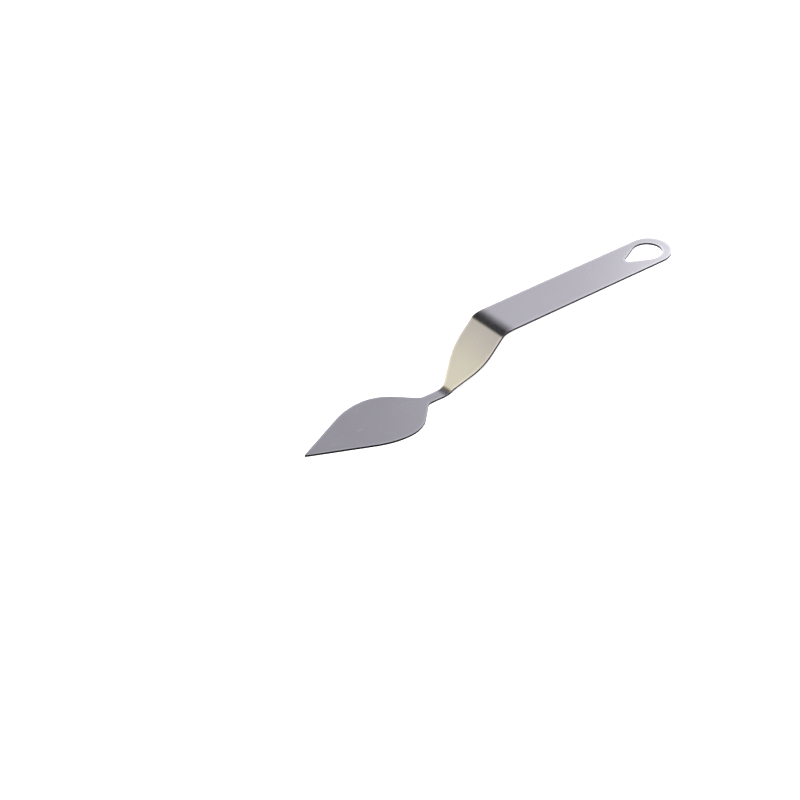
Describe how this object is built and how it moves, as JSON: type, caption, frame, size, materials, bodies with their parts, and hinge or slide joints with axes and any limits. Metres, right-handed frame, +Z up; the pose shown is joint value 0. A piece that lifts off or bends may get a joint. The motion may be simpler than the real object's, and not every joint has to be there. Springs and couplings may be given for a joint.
{
  "type": "palette knife",
  "caption": "Cranked palette knife of sheet steel with a pointed leaf-shaped blade, thin neck, sloping crank and flat strip handle with a teardrop hanging hole.",
  "frame": {"origin": "under the middle of the knife's length and width, in the plane of the blade's underside", "axes": "+X from the blade's tip to the handle's end, +Y across the knife, +Z up, square to the faces of blade and handle"},
  "size_m": [0.205, 0.034, 0.026],
  "materials": {
    "satin_steel": "satin stainless steel sheet, fine matt grain, cut edges darker with a softly broken bright corner"
  },
  "bodies": {
    "root": {"blade": "satin_steel", "neck": "satin_steel", "crank": "satin_steel", "handle": "satin_steel"}
  },
  "joints": []
}
